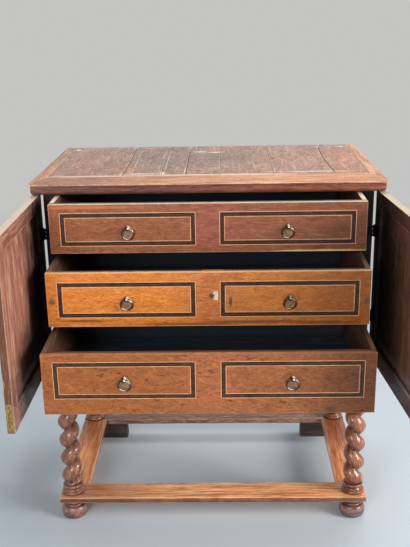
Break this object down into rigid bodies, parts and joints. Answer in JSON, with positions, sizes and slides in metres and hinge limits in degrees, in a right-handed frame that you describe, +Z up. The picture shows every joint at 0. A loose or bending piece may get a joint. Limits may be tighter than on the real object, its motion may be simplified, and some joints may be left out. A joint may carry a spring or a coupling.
{
  "type": "cabinet on stand",
  "caption": "Wooden cabinet with two panelled doors and inlaid drawers, on a low stand with corkscrew-turned legs, flat stretchers and bun feet; keeps small things.",
  "frame": {"origin": "on the floor, below the centre of the bounding box of the cabinet as it stands with its doors open and drawers pulled out", "axes": "+Z up; +X to the right as one faces the cabinet; +Y from the drawers to the back"},
  "size_m": [1.0416, 1.0261, 1.116],
  "materials": {
    "stand wood": "dark worn polish",
    "stretcher wood": "worn polish",
    "top wood": "worn and dry",
    "case wood": "dark worn polish",
    "plain wood": "bare",
    "drawer wood": "satin polish",
    "inlay wood": "satin polish",
    "door wood": "worn polish",
    "hinge iron": "matt black",
    "pull metal": "aged",
    "lock metal": "aged",
    "bolt brass": "aged"
  },
  "bodies": {
    "cabinet": {"bun_feet": "stand wood", "block_feet": "stand wood", "stretcher_front": "stretcher wood", "stretcher_back": "stretcher wood", "stretcher_sides": "stretcher wood", "leg_front_left": "stand wood", "leg_front_right": "stand wood", "leg_back_left": "stand wood", "leg_back_right": "stand wood", "apron_front": "stand wood", "apron_back": "stand wood", "apron_sides": "stand wood", "waist_moulding": "stand wood", "case_sides": "case wood", "case_bottom": "plain wood", "case_back": "plain wood", "front_stiles": "case wood", "front_rails": "case wood", "drawer_runners": "plain wood", "top_border_front": "top wood", "top_border_sides": "top wood", "top_planks": "top wood", "cornice_moulding": "case wood", "case_hinge_leaves": "hinge iron", "hinge_pins": "hinge iron"},
    "drawer_1": {"drawer_1_front": "drawer wood", "drawer_1_box": "plain wood", "drawer_1_bottom": "plain wood", "drawer_1_inlay": "inlay wood", "drawer_1_pull_plates": "pull metal"},
    "drawer_2": {"drawer_2_front": "drawer wood", "drawer_2_box": "plain wood", "drawer_2_bottom": "plain wood", "drawer_2_inlay": "inlay wood", "drawer_2_pull_plates": "pull metal", "escutcheon": "lock metal", "drawer_lock": "lock metal"},
    "drawer_3": {"drawer_3_front": "drawer wood", "drawer_3_box": "plain wood", "drawer_3_bottom": "plain wood", "drawer_3_inlay": "inlay wood", "drawer_3_pull_plates": "pull metal"},
    "ring_1_left": {"ring_1_left": "pull metal"},
    "ring_1_right": {"ring_1_right": "pull metal"},
    "ring_2_left": {"ring_2_left": "pull metal"},
    "ring_2_right": {"ring_2_right": "pull metal"},
    "ring_3_left": {"ring_3_left": "pull metal"},
    "ring_3_right": {"ring_3_right": "pull metal"},
    "lock_bolt": {"lock_bolt": "lock metal"},
    "left_door": {"left_door_stiles": "door wood", "left_door_rails": "door wood", "left_door_panel": "door wood", "left_door_hinge_leaves": "hinge iron", "bolt_plates": "bolt brass"},
    "right_door": {"right_door_stiles": "door wood", "right_door_rails": "door wood", "right_door_panel": "door wood", "right_door_hinge_leaves": "hinge iron"},
    "upper_bolt": {"upper_bolt": "bolt brass"},
    "lower_bolt": {"lower_bolt": "bolt brass"}
  },
  "joints": [
    {"name": "drawer_1_slide", "type": "slide", "parent": "cabinet", "child": "drawer_1", "axis": [0, -1, 0], "range_m": [-0.157, 0.273]},
    {"name": "drawer_2_slide", "type": "slide", "parent": "cabinet", "child": "drawer_2", "axis": [0, -1, 0], "range_m": [-0.258, 0.172]},
    {"name": "drawer_3_slide", "type": "slide", "parent": "cabinet", "child": "drawer_3", "axis": [0, -1, 0], "range_m": [-0.388, 0.042]},
    {"name": "ring_1_left_swing", "type": "hinge", "parent": "drawer_1", "child": "ring_1_left", "pos_m": [-0.23307, -0.19334, 1.0153], "axis": [-1, 0, 0], "range_deg": [-0.5, 112]},
    {"name": "ring_1_right_swing", "type": "hinge", "parent": "drawer_1", "child": "ring_1_right", "pos_m": [0.19943, -0.19334, 1.0153], "axis": [-1, 0, 0], "range_deg": [-0.5, 112]},
    {"name": "ring_2_left_swing", "type": "hinge", "parent": "drawer_2", "child": "ring_2_left", "pos_m": [-0.23307, -0.29434, 0.8493], "axis": [-1, 0, 0], "range_deg": [-0.5, 112]},
    {"name": "ring_2_right_swing", "type": "hinge", "parent": "drawer_2", "child": "ring_2_right", "pos_m": [0.19943, -0.29434, 0.8493], "axis": [-1, 0, 0], "range_deg": [-0.5, 112]},
    {"name": "ring_3_left_swing", "type": "hinge", "parent": "drawer_3", "child": "ring_3_left", "pos_m": [-0.23307, -0.42434, 0.6768], "axis": [-1, 0, 0], "range_deg": [-0.5, 112]},
    {"name": "ring_3_right_swing", "type": "hinge", "parent": "drawer_3", "child": "ring_3_right", "pos_m": [0.19943, -0.42434, 0.6768], "axis": [-1, 0, 0], "range_deg": [-0.5, 112]},
    {"name": "lock_bolt_slide", "type": "slide", "parent": "drawer_2", "child": "lock_bolt", "axis": [0, 0, 1], "range_m": [0, 0.007]},
    {"name": "left_door_hinge", "type": "hinge", "parent": "cabinet", "child": "left_door", "pos_m": [-0.49242, -0.03809, 0.8295], "axis": [0, 0, -1], "range_deg": [-6, 85]},
    {"name": "right_door_hinge", "type": "hinge", "parent": "cabinet", "child": "right_door", "pos_m": [0.45878, -0.03809, 0.8295], "axis": [0, 0, 1], "range_deg": [-10, 82]},
    {"name": "upper_bolt_slide", "type": "slide", "parent": "left_door", "child": "upper_bolt", "axis": [0, 0, 1], "range_m": [0, 0.01]},
    {"name": "lower_bolt_slide", "type": "slide", "parent": "left_door", "child": "lower_bolt", "axis": [0, 0, -1], "range_m": [0, 0.01]}
  ]
}
